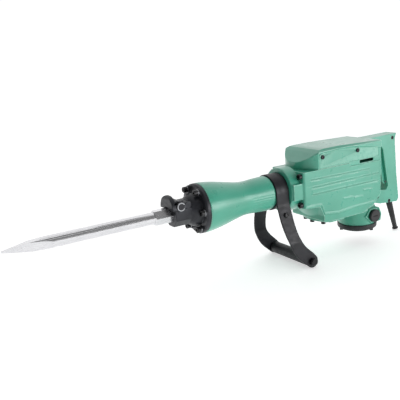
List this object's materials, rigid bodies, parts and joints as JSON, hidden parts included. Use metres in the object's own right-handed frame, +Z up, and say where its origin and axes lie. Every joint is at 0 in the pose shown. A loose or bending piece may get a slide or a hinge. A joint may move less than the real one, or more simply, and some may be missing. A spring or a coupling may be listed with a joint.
{
  "type": "electric jackhammer",
  "caption": "Electric demolition hammer with hexagon-shank point chisel, swinging tool retainer, turning side handle, rear D-handle with trigger and crank-driven striker.",
  "frame": {"origin": "on the striking axis at the mouth of the hexagon tool socket", "axes": "+X along the striking axis towards the rear handle, +Z up in the carrying pose, motor hanging towards -Z"},
  "size_m": [1.037, 0.175, 0.272],
  "materials": {
    "green_paint": "satin mint-green enamel over aluminium castings",
    "black_steel": "satin black enamel",
    "black_casting": "black oxide casting, slightly glossy",
    "bright_steel": "ground and polished tool steel",
    "black_screw": "black oxide fasteners",
    "machine_steel": "machined steel",
    "zinc": "zinc plated",
    "bronze": "sintered bronze",
    "copper": "enamelled copper wire",
    "rubber": "matt black rubber",
    "grip_rubber": "dark grey grip rubber",
    "black_plastic": "black moulded plastic",
    "carbon": "carbon brush",
    "gasket": "fibre gasket",
    "green_plastic": "mint-green moulded plastic"
  },
  "bodies": {
    "tool_body": {"front_cover": "black_casting", "front_cover_bolts": "black_screw", "front_cover_washers": "zinc", "flange_gasket": "gasket", "cylinder_case": "green_paint", "anvil_bush": "bronze", "damper_washers": "machine_steel", "damper_ring": "rubber", "cylinder_liner": "machine_steel", "crank_bearings": "machine_steel", "intermediate_bearings": "machine_steel", "armature_bearings": "machine_steel", "stator": "machine_steel", "field_coils": "copper", "crank_case": "green_paint", "neck_bolts": "black_screw", "crank_cover": "green_paint", "side_plates": "green_paint", "side_plate_screws": "black_screw", "bottom_cover": "green_paint", "bottom_cover_bolts": "black_screw", "motor_housing": "green_paint", "brush_holders": "bronze", "carbon_brushes": "carbon", "brush_caps": "black_plastic", "tail_cover": "black_plastic", "tail_cover_screws": "black_screw", "handle_half_right": "green_plastic", "handle_half_left": "green_plastic", "handle_screws": "black_screw", "trigger_pin": "machine_steel", "trigger_spring": "machine_steel", "switch_body": "black_plastic", "cord_guard": "rubber"},
    "chisel": {"chisel": "bright_steel"},
    "retainer": {"retainer_lever": "black_casting", "retainer_pin": "black_steel", "retainer_clips": "zinc"},
    "anvil": {"anvil": "machine_steel"},
    "striker": {"striker": "machine_steel", "striker_ring": "rubber"},
    "piston": {"piston": "machine_steel", "piston_ring": "rubber", "wrist_pin": "machine_steel"},
    "connecting_rod": {"connecting_rod": "machine_steel"},
    "crank": {"crankshaft": "machine_steel", "crank_gear": "machine_steel"},
    "intermediate": {"intermediate_shaft": "machine_steel", "intermediate_gear": "machine_steel"},
    "armature": {"armature_shaft": "machine_steel", "armature_core": "copper", "commutator": "copper", "cooling_fan": "black_plastic"},
    "trigger": {"trigger": "green_plastic"},
    "side_handle": {"side_handle_strap": "black_steel", "side_handle_saddle": "black_steel", "side_handle_clamp_screws": "black_screw", "side_handle_grip": "grip_rubber", "side_handle_bolt": "black_screw", "side_handle_nut": "black_screw"}
  },
  "joints": [
    {"name": "chisel_slide", "type": "slide", "parent": "tool_body", "child": "chisel", "axis": [1, 0, 0], "range_m": [-0.02, 0]},
    {"name": "retainer_swing", "type": "hinge", "parent": "tool_body", "child": "retainer", "pos_m": [0.012, 0, 0.0195], "axis": [0, 1, 0], "range_deg": [0, 95]},
    {"name": "anvil_slide", "type": "slide", "parent": "tool_body", "child": "anvil", "axis": [1, 0, 0], "range_m": [0, 0.006]},
    {"name": "striker_slide", "type": "slide", "parent": "tool_body", "child": "striker", "axis": [1, 0, 0], "range_m": [-0.008, 0.01]},
    {"name": "piston_slide", "type": "slide", "parent": "tool_body", "child": "piston", "axis": [1, 0, 0], "range_m": [0, 0.036]},
    {"name": "rod_swing", "type": "hinge", "parent": "piston", "child": "connecting_rod", "pos_m": [0.2818, 0, 0], "axis": [0, 0, 1], "range_deg": [-9.4, 9.4]},
    {"name": "crank_spin", "type": "hinge", "parent": "tool_body", "child": "crank", "pos_m": [0.4098, 0, 0], "axis": [0, 0, 1], "continuous": true},
    {"name": "intermediate_spin", "type": "hinge", "parent": "tool_body", "child": "intermediate", "pos_m": [0.4768, 0, 0], "axis": [0, 0, 1], "continuous": true},
    {"name": "motor_spin", "type": "hinge", "parent": "tool_body", "child": "armature", "pos_m": [0.5338, 0, 0], "axis": [0, 0, 1], "continuous": true},
    {"name": "trigger_pull", "type": "hinge", "parent": "tool_body", "child": "trigger", "pos_m": [0.626, 0, -0.038], "axis": [0, 1, 0], "range_deg": [0, 4], "stiffness_Nm_per_rad": 2, "springref_deg": -8.59},
    {"name": "side_handle_turn", "type": "hinge", "parent": "tool_body", "child": "side_handle", "pos_m": [0.269, 0, 0], "axis": [1, 0, 0], "continuous": true}
  ],
  "couplings": [
    {"joint": "intermediate_spin", "follows": "crank_spin", "ratio": -3.4667},
    {"joint": "motor_spin", "follows": "crank_spin", "ratio": 15.352}
  ]
}
